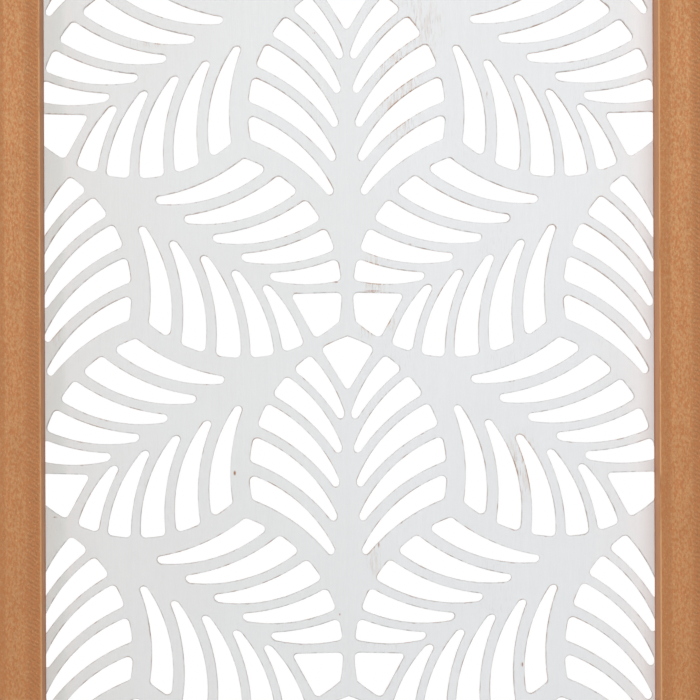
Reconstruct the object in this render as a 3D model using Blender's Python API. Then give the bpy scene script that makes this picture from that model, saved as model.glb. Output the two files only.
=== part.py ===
"""Framed fretwork wall panel: a thin wooden sheet, pierced with palm leaves, in four bars.

The panel hangs flat on a wall. Its front faces -Y, its back lies in the plane y = 0,
and the origin is on the back of the top rail, half way along it. The four bars meet in
mitres, and the sheet lies in a rebate cut into the back of them.
"""

import cmath
import math

import bmesh
import bpy
from mathutils import Vector
from mathutils.geometry import delaunay_2d_cdt

# Overall sizes of the panel and of the stock it is made from, in metres
PANEL_WIDTH = 0.400
PANEL_HEIGHT = 0.600
BAR_WIDTH = 0.025
BAR_DEPTH = 0.020
SHEET_THICKNESS = 0.002
REBATE_WIDTH = 0.008
FIT_GAP = 0.0003

# Rounding of the bars' front edges
ARRIS_RADIUS = 0.0009
ARRIS_SEGMENTS = 3

# Solid margin that the sheet keeps round its slots, hidden in the rebate
SHEET_MARGIN = 0.004
# A slot is cut only if more than this share of it shows between the bars
SMALLEST_SHOWN = 0.3
# What the margin leaves of a slot is cut only where it is at least this wide and high
SMALLEST_SLOT = 0.0025

# Layout of the leaves: three leaves meet tip to tip at every point of the lattice, and
# every second column is half a row higher
ROW_PITCH = 0.2070
COLUMN_PITCH = 0.1810
LEAF_TURNS_DEG = (0.0, 120.0, -120.0)
# The tip-meeting point nearest to the middle of the panel, as cut
PATTERN_OFFSET_X = -0.0010
PATTERN_OFFSET_Z = 0.01355

# The leaf's rim: an arc on each side, from a tip that stays clear of the other two tips
LEAF_RIM_RADIUS = 0.0825
LEAF_HALF_WIDTH = 0.0561
TIP_CLEARANCE = 0.00564
# How far the rims stay clear of the point midway between three leaves
SIDE_CLEARANCE = 0.00572

# The kite-shaped slot under the tip: its length along the rim, and its foot's distance
# from the point where the tips meet
KITE_RIM = 0.01673
KITE_FOOT = 0.0375

# The slots beside the midrib, from the kite on: what each one takes up along the rim,
# and the rib between it and the one before
SLOT_PAIRS = 5
SLOT_RIM = 0.01277
SLOT_RIM_GROWTH = 0.00095
SLOT_RIM_FADING = 0.0001165
KITE_RIB_RIM = 0.00718
RIB_RIM = 0.00518
RIB_RIM_GROWTH = 0.00036
RIB_RIM_SPREADING = 0.0001165
# The same along the midrib
SLOT_ROOT = 0.0084
SLOT_ROOT_LOSS = 0.00047
KITE_RIB_ROOT = 0.0117
RIB_ROOT = 0.01125
RIB_ROOT_GROWTH = 0.00047
# Half the midrib's width beside the first slot, and how much it grows along the midrib
MIDRIB_HALF_WIDTH = 0.0020
MIDRIB_TAPER = 0.074
# Sweep of the slots' long edges, and the rounding of their corners
UPPER_EDGE_RADIUS = 0.0847
LOWER_EDGE_RADIUS = 0.1039
RIM_CORNER_RADIUS = 0.0029
ROOT_CORNER_RADIUS = 0.00195
LONG_EDGE_SEGMENTS = 3
CORNER_SEGMENTS = 1

# How the flat sheet is divided into triangles
INSIDE_OUTLINES = 1
MERGE_DISTANCE = 1e-6

# What follows from the sizes above
OPENING_WIDTH = PANEL_WIDTH - 2 * BAR_WIDTH
OPENING_HEIGHT = PANEL_HEIGHT - 2 * BAR_WIDTH
SHEET_LAP = REBATE_WIDTH - FIT_GAP
SLOTTED_HALF_WIDTH = OPENING_WIDTH / 2 + SHEET_LAP - SHEET_MARGIN
SLOTTED_HALF_HEIGHT = OPENING_HEIGHT / 2 + SHEET_LAP - SHEET_MARGIN
# The rails' and stiles' backs are as wide as the rebate leaves them
BACK_WIDTH = BAR_WIDTH - REBATE_WIDTH
MIDDLE_Z = BACK_WIDTH / 2 - PANEL_HEIGHT / 2
# The centre of the arc on the leaf's right, and the angle of the tip about it
RIM_TIP_ANGLE = math.acos(1 - LEAF_HALF_WIDTH / LEAF_RIM_RADIUS)
RIM_CENTRE_X = LEAF_HALF_WIDTH - LEAF_RIM_RADIUS
RIM_CENTRE_Y = TIP_CLEARANCE + LEAF_RIM_RADIUS * math.sin(RIM_TIP_ANGLE)


def clear_scene():
    """Remove every object that the scene holds."""
    for obj in list(bpy.data.objects):
        bpy.data.objects.remove(obj, do_unlink=True)


def make_material(name, colour, roughness):
    """Return a plain shader in one colour."""
    material = bpy.data.materials.new(name)
    material.use_nodes = True
    shader = material.node_tree.nodes["Principled BSDF"]
    shader.inputs["Base Color"].default_value = (*colour, 1.0)
    shader.inputs["Roughness"].default_value = roughness
    shader.inputs["Metallic"].default_value = 0.0
    return material


def add_object(name, mesh, material=None):
    """Link a mesh into the scene as a named object."""
    obj = bpy.data.objects.new(name, mesh)
    bpy.context.scene.collection.objects.link(obj)
    if material:
        mesh.materials.append(material)
    return obj


def mesh_from(name, shape):
    """Turn a bmesh into a mesh with its faces outwards, and free it."""
    bmesh.ops.recalc_face_normals(shape, faces=shape.faces)
    mesh = bpy.data.meshes.new(name)
    shape.to_mesh(mesh)
    shape.free()
    return mesh


class Edge:
    """One side of a slot: a circular arc, or a straight line where the radius is None.

    Points are complex numbers. A positive radius bends the side to the left.
    """

    def __init__(self, start, end, radius=None):
        self.start = start
        self.chord = end - start
        self.half_turn = math.asin(abs(self.chord) / 2 / radius) if radius else 0.0

    def length(self):
        """Return the distance along the side."""
        if not self.half_turn:
            return abs(self.chord)
        return abs(self.chord) * self.half_turn / math.sin(self.half_turn)

    def point(self, share):
        """Return the point at this share of the side."""
        if not self.half_turn:
            return self.start + self.chord * share
        stretch = math.sin(share * self.half_turn) / math.sin(self.half_turn)
        return self.start + self.chord * stretch * cmath.exp(1j * (share - 1) * self.half_turn)

    def heading(self, share):
        """Return the direction of travel at this share of the side."""
        return self.chord * cmath.exp(1j * (2 * share - 1) * self.half_turn)


def turn_between(first, second):
    """Return the angle from one heading to the next, positive to the left."""
    return cmath.phase(second / first)


def rounded_outline(sides, corner_radii, segments):
    """Return the points of a closed outline with a rounded corner at each side's start."""
    count = len(sides)
    setbacks = []
    for index, side in enumerate(sides):
        turn = turn_between(sides[index - 1].heading(1), side.heading(0))
        setbacks.append(corner_radii[index] * math.tan(turn / 2))
    spans = []
    for index, side in enumerate(sides):
        begin = setbacks[index] / side.length()
        end = 1 - setbacks[(index + 1) % count] / side.length()
        spans.append((begin, max(begin, end)))
    points = []
    for index, side in enumerate(sides):
        begin, end = spans[index]
        for step in range(segments[index] + 1):
            points.append(side.point(begin + (end - begin) * step / segments[index]))
        following = (index + 1) % count
        if not corner_radii[following]:
            points.pop()
            continue
        after = sides[following]
        corner = Edge(points[-1], after.point(spans[following][0]))
        turn = turn_between(side.heading(end), after.heading(spans[following][0]))
        corner.half_turn = turn / 2
        for step in range(1, CORNER_SEGMENTS):
            points.append(corner.point(step / CORNER_SEGMENTS))
    return points


def rim_point(distance):
    """Return the point of the leaf's rim that is this far along it from the tip."""
    angle = distance / LEAF_RIM_RADIUS - RIM_TIP_ANGLE
    return complex(RIM_CENTRE_X, RIM_CENTRE_Y) + cmath.rect(LEAF_RIM_RADIUS, angle)


def midrib_point(along):
    """Return the point on the midrib's edge at this distance from the tips' point."""
    beyond = along - KITE_FOOT - KITE_RIB_ROOT
    return complex(MIDRIB_HALF_WIDTH + MIDRIB_TAPER * beyond, along)


def drawn_pitch():
    """Return the pitch at which leaves of this size keep their clearances."""
    root_three = math.sqrt(3)
    reach = RIM_CENTRE_Y + RIM_CENTRE_X / root_three
    clear_radius = LEAF_RIM_RADIUS + SIDE_CLEARANCE
    excess = RIM_CENTRE_X**2 + RIM_CENTRE_Y**2 - clear_radius**2
    return 1.5 * (reach + math.sqrt(reach**2 - excess * 4 / 3))


def kite_outline():
    """Return the slot that fills the leaf's tip."""
    tip = rim_point(0)
    right = rim_point(KITE_RIM)
    left = complex(-right.real, right.imag)
    foot = complex(0, KITE_FOOT)
    sides = [
        Edge(tip, right, LEAF_RIM_RADIUS),
        Edge(right, foot),
        Edge(foot, left),
        Edge(left, tip, LEAF_RIM_RADIUS),
    ]
    radii = [0.0, RIM_CORNER_RADIUS, ROOT_CORNER_RADIUS, RIM_CORNER_RADIUS]
    return rounded_outline(sides, radii, [1, 1, 1, 1])


def side_slot_outlines():
    """Return the slots on the right of the midrib, from the kite on."""
    outlines = []
    rim = KITE_RIM + KITE_RIB_RIM
    root = KITE_FOOT + KITE_RIB_ROOT
    for index in range(SLOT_PAIRS):
        rim_end = rim + SLOT_RIM + SLOT_RIM_GROWTH * index - SLOT_RIM_FADING * index**2
        root_end = root + SLOT_ROOT - SLOT_ROOT_LOSS * index
        corners = [midrib_point(root), rim_point(rim), rim_point(rim_end), midrib_point(root_end)]
        sides = [
            Edge(corners[0], corners[1], UPPER_EDGE_RADIUS),
            Edge(corners[1], corners[2], LEAF_RIM_RADIUS),
            Edge(corners[2], corners[3], -LOWER_EDGE_RADIUS),
            Edge(corners[3], corners[0]),
        ]
        radii = [0.0, RIM_CORNER_RADIUS, RIM_CORNER_RADIUS, ROOT_CORNER_RADIUS]
        segments = [LONG_EDGE_SEGMENTS, 1, LONG_EDGE_SEGMENTS, 1]
        outlines.append(rounded_outline(sides, radii, segments))
        rim = rim_end + RIB_RIM + RIB_RIM_GROWTH * index + RIB_RIM_SPREADING * index**2
        root = root_end + RIB_ROOT + RIB_ROOT_GROWTH * index
    return outlines


def leaf_outlines():
    """Return the slots of one leaf: the kite, and the side slots with their mirror images."""
    right = side_slot_outlines()
    left = [[complex(-point.real, point.imag) for point in outline] for outline in right]
    return [kite_outline(), *right, *left]


def placed(outline, meeting_point, turn_deg):
    """Return a slot of the leaf turned about the tips' point, fitted to the pitches and set."""
    turn = cmath.exp(1j * math.radians(turn_deg))
    turned = [point.conjugate() * turn for point in outline]
    wider = COLUMN_PITCH / (drawn_pitch() * math.sin(math.radians(60)))
    higher = ROW_PITCH / drawn_pitch()
    stretched = [complex(point.real * wider, point.imag * higher) for point in turned]
    return [meeting_point + point for point in stretched]


def cut_off(outline, normal, limit):
    """Return the pieces of a closed outline on the near side of a straight line.

    The line is square to the unit vector normal, at the distance limit from the middle.
    """
    depths = [(point * normal.conjugate()).real - limit for point in outline]
    if max(depths) <= 0:
        return [outline]
    if min(depths) >= 0:
        return []
    runs = []
    crossings = []
    start = depths.index(max(depths))
    for step in range(start, start + len(outline)):
        here = step % len(outline)
        after = (step + 1) % len(outline)
        if depths[here] < 0:
            runs[-1].append(outline[here])
        if (depths[here] < 0) == (depths[after] < 0):
            continue
        share = depths[here] / (depths[here] - depths[after])
        crossing = outline[here] + (outline[after] - outline[here]) * share
        leaving = depths[here] < 0
        if leaving:
            runs[-1].append(crossing)
        else:
            runs.append([crossing])
        crossings.append(((crossing / normal).imag, leaving, len(runs) - 1))
    crossings.sort()
    following = {}
    for first, second in zip(crossings[::2], crossings[1::2]):
        leaver, enterer = (first, second) if first[1] else (second, first)
        following[leaver[2]] = enterer[2]
    pieces = []
    while following:
        first_run, run = following.popitem()
        piece = list(runs[first_run])
        while run != first_run:
            piece += runs[run]
            run = following.pop(run)
        pieces.append(piece)
    return pieces


def area_within(outline):
    """Return the area within a closed outline, negative where it runs clockwise."""
    following = outline[1:] + outline[:1]
    return sum((here.conjugate() * after).imag for here, after in zip(outline, following)) / 2


def cut_to(outline, half_width, half_height):
    """Return the pieces of an outline that lie within a rectangle about the middle."""
    pieces = [outline]
    for normal, limit in ((1, half_width), (-1, half_width), (1j, half_height), (-1j, half_height)):
        pieces = [part for piece in pieces for part in cut_off(piece, complex(normal), limit)]
    return pieces


def shows_enough(outline):
    """Tell whether the bars leave enough of a slot in sight for it to be cut."""
    shown = cut_to(outline, OPENING_WIDTH / 2, OPENING_HEIGHT / 2)
    return sum(abs(area_within(piece)) for piece in shown) > SMALLEST_SHOWN * abs(area_within(outline))


def kept_inside(outline):
    """Return the pieces of a slot that lie within the sheet's margin."""
    pieces = cut_to(outline, SLOTTED_HALF_WIDTH, SLOTTED_HALF_HEIGHT)
    return [piece for piece in pieces if is_wide_enough(piece)]


def is_wide_enough(outline):
    """Tell whether a slot is large enough to be cut."""
    across = [point.real for point in outline]
    up = [point.imag for point in outline]
    return min(max(across) - min(across), max(up) - min(up)) > SMALLEST_SLOT


def pattern_outlines():
    """Return every slot of the panel, about the middle of the opening."""
    columns = math.ceil(SLOTTED_HALF_WIDTH / COLUMN_PITCH) + 1
    rows = math.ceil(SLOTTED_HALF_HEIGHT / ROW_PITCH) + 1
    leaf = leaf_outlines()
    outlines = []
    for column in range(-columns, columns + 1):
        for row in range(-rows, rows + 1):
            across = PATTERN_OFFSET_X + column * COLUMN_PITCH
            up = PATTERN_OFFSET_Z + (row + column % 2 / 2) * ROW_PITCH
            for turn_deg in LEAF_TURNS_DEG:
                slots = [placed(slot, complex(across, up), turn_deg) for slot in leaf]
                for slot in slots:
                    outlines += kept_inside(slot) if shows_enough(slot) else []
    return outlines


def anticlockwise(outline):
    """Return a closed outline with its points in anticlockwise order."""
    return outline if area_within(outline) > 0 else outline[::-1]


def plate_mesh(name, outline, holes):
    """Return a plate pierced by holes, with its back at y = 0."""
    points = []
    loops = []
    for loop in [outline, *holes]:
        first = len(points)
        points += [Vector((point.real, point.imag)) for point in anticlockwise(loop)]
        loops.append(list(range(first, len(points))))
    divided = delaunay_2d_cdt(points, [], loops, INSIDE_OUTLINES, MERGE_DISTANCE)
    shape = bmesh.new()
    corners = [shape.verts.new((point.x, 0, point.y)) for point in divided[0]]
    faces = []
    for triangle, loops_around in zip(divided[2], divided[5]):
        if len(loops_around) == 1:
            faces.append(shape.faces.new([corners[i] for i in triangle]))
    swept = bmesh.ops.extrude_face_region(shape, geom=faces)
    front = [item for item in swept["geom"] if isinstance(item, bmesh.types.BMVert)]
    bmesh.ops.translate(shape, verts=front, vec=(0, -SHEET_THICKNESS, 0))
    return mesh_from(name, shape)


def make_sheet(parent, material):
    """Add the pierced sheet, with its slots kept inside the solid margin."""
    half_width = OPENING_WIDTH / 2 + SHEET_LAP
    half_height = OPENING_HEIGHT / 2 + SHEET_LAP
    corner = complex(half_width, half_height)
    outline = [corner, -corner.conjugate(), -corner, corner.conjugate()]
    mesh = plate_mesh("fretwork_sheet", outline, pattern_outlines())
    add_object("fretwork_sheet", mesh, material).parent = parent


def arris(across, turn_from):
    """Return a front edge's rounding as points across the bar, starting at this turn."""
    points = []
    for step in range(ARRIS_SEGMENTS + 1):
        turn = math.radians(turn_from + 90 * step / ARRIS_SEGMENTS)
        points.append(
            (
                across + ARRIS_RADIUS * math.cos(turn),
                ARRIS_RADIUS - BAR_DEPTH + ARRIS_RADIUS * math.sin(turn),
            )
        )
    return points


def bar_section():
    """Return the bar's section: distance out from the opening, and depth."""
    shoulder = -SHEET_THICKNESS - FIT_GAP
    inner_arris = arris(ARRIS_RADIUS, 180)
    outer_arris = arris(BAR_WIDTH - ARRIS_RADIUS, 270)
    back = [(BAR_WIDTH, 0.0), (REBATE_WIDTH, 0.0), (REBATE_WIDTH, shoulder), (0.0, shoulder)]
    return inner_arris + outer_arris + back


def bar_mesh(name, inner_length):
    """Return a mitred bar along X whose opening side lies at z = 0."""
    section = bar_section()
    mitre_clearance = FIT_GAP / math.sqrt(2)
    shape = bmesh.new()
    ends = []
    for side in (-1, 1):
        ring = []
        for out, depth in section:
            along = side * (inner_length / 2 + out - mitre_clearance)
            ring.append(shape.verts.new((along, depth, out)))
        ends.append(ring)
        shape.faces.new(ring)
    left, right = ends
    for index in range(len(section)):
        after = (index + 1) % len(section)
        shape.faces.new((left[index], right[index], right[after], left[after]))
    mesh = mesh_from(name, shape)
    mesh.shade_smooth()
    mesh.set_sharp_from_angle(angle=math.radians(40))
    return mesh


def make_bar(name, inner_length, place, turn_deg, parent, material):
    """Add one bar of the frame with its inner side at this place."""
    bar = add_object(name, bar_mesh(name, inner_length), material)
    bar.parent = parent
    bar.location = place
    bar.rotation_euler = (0, math.radians(turn_deg), 0)


def make_frame(parent, material):
    """Add the two rails and the two stiles round the opening."""
    beside = OPENING_WIDTH / 2
    above = OPENING_HEIGHT / 2
    make_bar("top_rail", OPENING_WIDTH, (0, 0, above), 0, parent, material)
    make_bar("bottom_rail", OPENING_WIDTH, (0, 0, -above), 180, parent, material)
    make_bar("right_stile", OPENING_HEIGHT, (beside, 0, 0), 90, parent, material)
    make_bar("left_stile", OPENING_HEIGHT, (-beside, 0, 0), -90, parent, material)


def main():
    """Build the panel."""
    clear_scene()
    whitewash = make_material("whitewashed_wood", (0.76, 0.76, 0.75), 0.65)
    stain = make_material("stained_wood", (0.51, 0.25, 0.11), 0.55)
    middle = add_object("panel_middle", None)
    middle.location = (0, 0, MIDDLE_Z)
    make_sheet(middle, whitewash)
    make_frame(middle, stain)


main()
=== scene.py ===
"""Looks of the framed fretwork wall panel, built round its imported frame.

The panel is a thin whitewashed sheet, pierced with palm leaves, that lies in the rebate of
four stained bars. Its front faces -Y. Lengths are in metres, and a point of the panel's
plane is a complex number: its real part lies along X and its imaginary part along Z.
"""

import cmath
import logging
import math
from dataclasses import dataclass
from enum import Enum

import bmesh
import bpy
from mathutils import Matrix, Vector, noise
from mathutils.geometry import delaunay_2d_cdt


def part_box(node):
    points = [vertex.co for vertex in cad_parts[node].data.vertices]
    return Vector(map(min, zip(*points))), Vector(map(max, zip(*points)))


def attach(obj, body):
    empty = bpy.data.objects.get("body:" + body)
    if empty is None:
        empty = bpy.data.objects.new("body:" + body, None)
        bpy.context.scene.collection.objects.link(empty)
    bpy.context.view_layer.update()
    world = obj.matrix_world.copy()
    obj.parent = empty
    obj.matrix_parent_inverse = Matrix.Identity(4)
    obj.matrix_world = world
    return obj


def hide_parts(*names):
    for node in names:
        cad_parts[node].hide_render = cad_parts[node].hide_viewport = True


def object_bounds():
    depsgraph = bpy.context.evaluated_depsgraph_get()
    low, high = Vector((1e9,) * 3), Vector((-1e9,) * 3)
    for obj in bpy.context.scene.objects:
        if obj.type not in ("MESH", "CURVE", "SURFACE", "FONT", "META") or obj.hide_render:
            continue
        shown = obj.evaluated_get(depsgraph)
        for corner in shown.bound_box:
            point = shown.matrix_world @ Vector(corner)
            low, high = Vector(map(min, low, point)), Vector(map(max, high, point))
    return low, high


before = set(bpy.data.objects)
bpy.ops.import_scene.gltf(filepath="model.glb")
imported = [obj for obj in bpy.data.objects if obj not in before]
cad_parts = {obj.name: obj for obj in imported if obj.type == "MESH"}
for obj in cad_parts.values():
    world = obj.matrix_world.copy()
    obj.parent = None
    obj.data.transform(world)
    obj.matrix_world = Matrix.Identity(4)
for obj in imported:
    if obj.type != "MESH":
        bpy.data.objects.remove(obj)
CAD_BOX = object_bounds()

LOG = logging.getLogger("fretwork_panel")

Loop = list[complex]
Triple = tuple[float, float, float]
Colour = Triple
Socket = bpy.types.NodeSocket

# How far each use of a noise is shifted along each axis, times its seed
SEED_SHIFT = (1.0, 1.7, 2.3)
# The share of a soft spot's reach within which it is at its strongest
SPOT_CORE = 0.25
# The sharpest corner of an outline still keeps this cosine when the outline is moved
LEAST_COSINE = 0.5
# Points of a flat face that are nearer than this are one
MERGE_DISTANCE = 1e-7


def linear(red: int, green: int, blue: int) -> Colour:
    """Return the linear colour of a display colour.

    Args:
        red: Red, from 0 to 255.
        green: Green, from 0 to 255.
        blue: Blue, from 0 to 255.

    Returns:
        The three linear shares, from 0 to 1.
    """

    def share(level: int) -> float:
        """Return one channel as a linear share."""
        value = level / 255
        return value / 12.92 if value <= 0.04045 else ((value + 0.055) / 1.055) ** 2.4

    return share(red), share(green), share(blue)


@dataclass(frozen=True)
class Grain:
    """One soft noise of a finish: its features to a metre on each axis, and its octaves."""

    per_metre: Triple
    octaves: float
    seed: float


@dataclass(frozen=True)
class Step:
    """A smooth step between two values, which goes down where the second is the lower."""

    start: float
    end: float
    height: float = 1.0


class ShaderNodes:
    """The node tree of one material, with a method for each kind of node that is used."""

    def __init__(self, name: str) -> None:
        """Make the material.

        Args:
            name: The material's name.
        """
        self.material = bpy.data.materials.new(name)
        self.material.use_nodes = True
        self.tree = self.material.node_tree
        self.shader = self.tree.nodes["Principled BSDF"]

    def add(self, kind: str, **settings: object) -> bpy.types.Node:
        """Add a node.

        Args:
            kind: Blender's name for the node's type.
            settings: The node's own settings.

        Returns:
            The node.
        """
        node = self.tree.nodes.new(kind)
        for setting, value in settings.items():
            setattr(node, setting, value)
        return node

    def feed(self, socket: Socket, value: object) -> None:
        """Link a socket to another, or set its constant.

        Args:
            socket: The input socket.
            value: An output socket, a number, a vector or a colour.
        """
        if isinstance(value, Socket):
            self.tree.links.new(value, socket)
        elif socket.type == "RGBA":
            socket.default_value = (*value, 1.0)
        else:
            socket.default_value = value

    def amount(self, name: str) -> Socket:
        """Return a number that the mesh keeps at its points, by name."""
        return self.add("ShaderNodeAttribute", attribute_name=name).outputs["Fac"]

    def place(self, name: str) -> Socket:
        """Return a vector that the mesh keeps at its points, by name."""
        return self.add("ShaderNodeAttribute", attribute_name=name).outputs["Vector"]

    def parts(self, vector: Socket) -> list[Socket]:
        """Return the three numbers of a vector."""
        node = self.add("ShaderNodeSeparateXYZ")
        self.feed(node.inputs[0], vector)
        return list(node.outputs)

    def noise(self, vector: Socket, grain: Grain) -> Socket:
        """Return soft noise about one half.

        Args:
            vector: The place on the piece, in metres.
            grain: The noise's scale, octaves and seed.

        Returns:
            The noise, mostly from 0.2 to 0.8.
        """
        scaled = self.add("ShaderNodeVectorMath", operation="MULTIPLY_ADD")
        self.feed(scaled.inputs[0], vector)
        self.feed(scaled.inputs[1], grain.per_metre)
        self.feed(scaled.inputs[2], tuple(grain.seed * shift for shift in SEED_SHIFT))
        node = self.add("ShaderNodeTexNoise")
        self.feed(node.inputs["Vector"], scaled.outputs[0])
        self.feed(node.inputs["Scale"], 1.0)
        self.feed(node.inputs["Detail"], grain.octaves)
        return node.outputs["Fac"]

    def math(self, operation: str, *values: object) -> Socket:
        """Return the result of a sum on numbers.

        Args:
            operation: Blender's name for the sum.
            values: The numbers or sockets it takes.

        Returns:
            The result.
        """
        node = self.add("ShaderNodeMath", operation=operation)
        for socket, value in zip(node.inputs, values):
            self.feed(socket, value)
        return node.outputs[0]

    def span(self, value: Socket, step: Step) -> Socket:
        """Return a smooth step between two values.

        Args:
            value: The value that is looked at.
            step: Where the step starts and ends, and its height.

        Returns:
            A number from 0 to the step's height.
        """
        rises = step.start < step.end
        node = self.add("ShaderNodeMapRange", interpolation_type="SMOOTHSTEP")
        for name, entry in (
            ("Value", value),
            ("From Min", min(step.start, step.end)),
            ("From Max", max(step.start, step.end)),
            ("To Min", 0.0 if rises else step.height),
            ("To Max", step.height if rises else 0.0),
        ):
            self.feed(node.inputs[name], entry)
        return node.outputs["Result"]

    def spot(self, place: Socket, centre: Triple, reach: Triple) -> Socket:
        """Return a soft spot.

        Args:
            place: The place on the piece, in metres.
            centre: The spot's middle.
            reach: How far it reaches along each axis.

        Returns:
            1 in the middle of the spot, down to 0 at its border.
        """
        from_centre = self.add("ShaderNodeVectorMath", operation="SUBTRACT")
        self.feed(from_centre.inputs[0], place)
        self.feed(from_centre.inputs[1], centre)
        share = self.add("ShaderNodeVectorMath", operation="DIVIDE")
        self.feed(share.inputs[0], from_centre.outputs[0])
        self.feed(share.inputs[1], reach)
        distance = self.add("ShaderNodeVectorMath", operation="LENGTH")
        self.feed(distance.inputs[0], share.outputs[0])
        return self.span(distance.outputs["Value"], Step(1.0, SPOT_CORE))

    def most(self, *values: object) -> Socket:
        """Return the largest of several numbers."""
        result = values[0]
        for value in values[1:]:
            result = self.math("MAXIMUM", result, value)
        return result

    def product(self, *values: object) -> Socket:
        """Return the product of several numbers."""
        result = values[0]
        for value in values[1:]:
            result = self.math("MULTIPLY", result, value)
        return result

    def blend(self, share: object, first: object, second: object) -> Socket:
        """Return a mix of two colours.

        Args:
            share: How much of the second is taken, from 0 to 1.
            first: A colour or a colour socket.
            second: A colour or a colour socket.

        Returns:
            The mixed colour.
        """
        node = self.add("ShaderNodeMix", data_type="RGBA", clamp_factor=True)
        self.feed(node.inputs[0], share)
        self.feed(node.inputs[6], first)
        self.feed(node.inputs[7], second)
        return node.outputs[2]

    def lighten(self, colour: object, source: Socket, swing: float) -> Socket:
        """Return a colour made lighter and darker by a noise.

        Args:
            colour: A colour or a colour socket.
            source: Noise about one half.
            swing: How much lighter the colour gets as the noise goes from 0 to 1.

        Returns:
            The colour times a factor about one.
        """
        factor = self.math("MULTIPLY_ADD", source, swing, 1.0 - swing / 2)
        node = self.add("ShaderNodeVectorMath", operation="SCALE")
        self.feed(node.inputs[0], colour)
        self.feed(node.inputs["Scale"], factor)
        return node.outputs[0]

    def bump(self, height: Socket, depth: float) -> None:
        """Give the surface a relief.

        Args:
            height: The relief, from 0 to 1.
            depth: What 1 stands for, in metres.
        """
        node = self.add("ShaderNodeBump")
        self.feed(node.inputs["Strength"], 1.0)
        self.feed(node.inputs["Distance"], depth)
        self.feed(node.inputs["Height"], height)
        self.feed(self.shader.inputs["Normal"], node.outputs[0])


@dataclass(frozen=True)
class SheetSpot:
    """A soft spot on the front of the sheet, placed from the middle: thinned whitewash, a knot, or
    painted shade.
    """

    across: float
    up: float
    half_width: float
    half_height: float
    wear: float

    def mask(self, nodes: ShaderNodes, place: Socket, depth: float) -> Socket:
        """Return how strongly the spot marks the paint.

        Args:
            nodes: The material's nodes.
            place: The place on the sheet: up, across and over the front.
            depth: How deep the spot reaches.

        Returns:
            A number from 0 to the spot's weight.
        """
        centre = (self.up, self.across, 0.0)
        spot = nodes.spot(place, centre, (self.half_height, self.half_width, depth))
        return nodes.product(spot, self.wear)


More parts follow.
